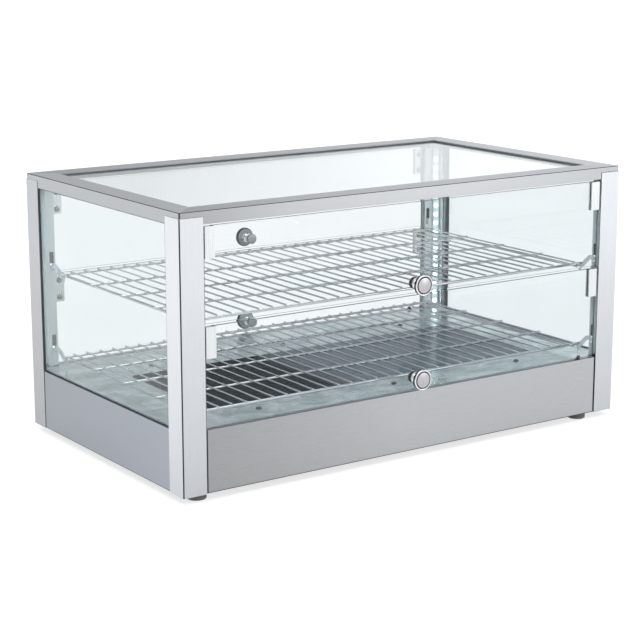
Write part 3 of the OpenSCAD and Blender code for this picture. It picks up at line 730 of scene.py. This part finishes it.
for side in ("left", "right"):
    refined(side + "_rail", 0.7 * MM, "frame_steel_end", [("seam_and_painted_shade", rail_seam_and_shade_line)], prepare=upper_arris(0),
            chamfered=True)
    refined(side + "_panel", 0.4 * MM, "brushed_steel_end")
    refined(side + "_glass", 0.5 * MM, "end_glass", [("glass_edge", edge_across(0))])
refined("top_glass", 0.5 * MM, "top_pane", [("glass_edge", edge_across(2))])
refined("led_strips", 0.2 * MM, extra=[("led_lens", on_lens)])
refined("top_glass_seal", 0.3 * MM, "seal_rubber")
refined("base_screws", 0.15 * MM, "dark_screw")
refined("side_glass_seals", 0.3 * MM, extra=[("post_inside", seal_faces_inward)])
for node, width in (("shelf_uprights", 0.3), ("shelf_hooks", 0.4), ("hinge_blocks", 0.4),
                    ("led_covers", 0.3), ("floor_plate", 0.3), ("heat_plate", 0.4), ("flap_bumpers", 0.5),
                    ("base_tray", 0.3), ("heat_reflector", 0.3), ("thermostat_knob", 0.35),
                    ("switch_housings", 0.4), ("power_rocker", 0.4), ("light_rocker", 0.4),
                    ("terminal_block", 0.4), ("led_driver", 0.4), ("thermostat", 0.4)):
    refined(node, width * MM)

own_names = {material.name for material in M.values()}
for obj in frame["nodes"].values():
    for place in obj.material_slots:
        finish = place.material.name.split(".")[0]
        if finish in M and place.material.name not in own_names:
            place.material = M[finish]


# ---------------------------------------------------------------- floor, world and light

def stage_floor():
    bm = bmesh.new()
    bmesh.ops.create_grid(bm, x_segments=8, y_segments=8, size=60)
    mesh = bpy.data.meshes.new("studio_floor")
    bm.to_mesh(mesh)
    bm.free()
    material, tree, shader = new_material("studio_floor")
    set_sockets(shader, Roughness=0.9, Emission_Strength=0.72)
    shader.inputs["Emission Color"].default_value = (1, 1, 1, 1)
    paint = ramp(tree, grain(tree, (0.8, 0.8, 0.8)), [(0.3, (0.33, 0.33, 0.33)), (0.7, (0.34, 0.34, 0.34))])
    tree.links.new(paint, shader.inputs["Base Color"])
    mesh.materials.append(material)
    floor = bpy.data.objects.new("studio_floor", mesh)
    bpy.context.collection.objects.link(floor)


def make_world():
    """Studio dome: bright overhead, dim sides, and a pale horizon that is brightest behind on the right."""
    world = bpy.data.worlds.new("studio")
    bpy.context.scene.world = world
    world.use_nodes = True
    tree = world.node_tree
    background = tree.nodes["Background"]
    background.inputs["Strength"].default_value = 4.0
    coords = tree.nodes.new("ShaderNodeTexCoord")
    split = tree.nodes.new("ShaderNodeSeparateXYZ")
    tree.links.new(coords.outputs["Generated"], split.inputs["Vector"])
    dome = ramp(tree, split.outputs["Z"], [(0.00, (0.270, 0.270, 0.270)), (0.30, (0.255, 0.260, 0.265)),
                                           (0.42, (0.135, 0.138, 0.142)), (0.84, (0.120, 0.123, 0.127)),
                                           (0.90, (0.85, 0.85, 0.85)), (1.00, (0.85, 0.85, 0.85))])
    across = tree.nodes.new("ShaderNodeVectorMath")
    across.operation = "DOT_PRODUCT"
    across.inputs[1].default_value = (math.cos(VIEW_HEADING), -math.sin(VIEW_HEADING), 0)
    tree.links.new(coords.outputs["Generated"], across.inputs[0])
    side = span(tree, across.outputs["Value"], 0.68, 1.10, -0.10, 0.09)
    height = span(tree, split.outputs["Z"], 0.0, 1.0, 0.35, 0.6)
    blend = tree.nodes.new("ShaderNodeMix")
    blend.inputs["B"].default_value = 1.0
    tree.links.new(height, blend.inputs["Factor"])
    tree.links.new(side, blend.inputs["A"])
    tree.links.new(scaled(tree, dome, blend.outputs["Result"]), background.inputs["Color"])


def soft_light(name, place, aim, width, height, power, colour=(1, 1, 1)):
    data = bpy.data.lights.new(name, "AREA")
    data.shape = "RECTANGLE"
    data.size, data.size_y = width, height
    data.energy = power
    data.color = colour
    light = bpy.data.objects.new(name, data)
    light.location = place
    light.rotation_euler = (Vector(aim) - Vector(place)).to_track_quat("-Z", "Y").to_euler()
    bpy.context.collection.objects.link(light)


stage_floor()
make_world()
middle = (0, 0, 0.2)
soft_light("key_light", (-1.4, -1.8, 2.0), middle, 1.6, 1.6, 8)
soft_light("front_right_light", (1.6, -2.3, 0.6), middle, 0.7, 1.0, 5)

bpy.context.scene.view_settings.view_transform = "Standard"
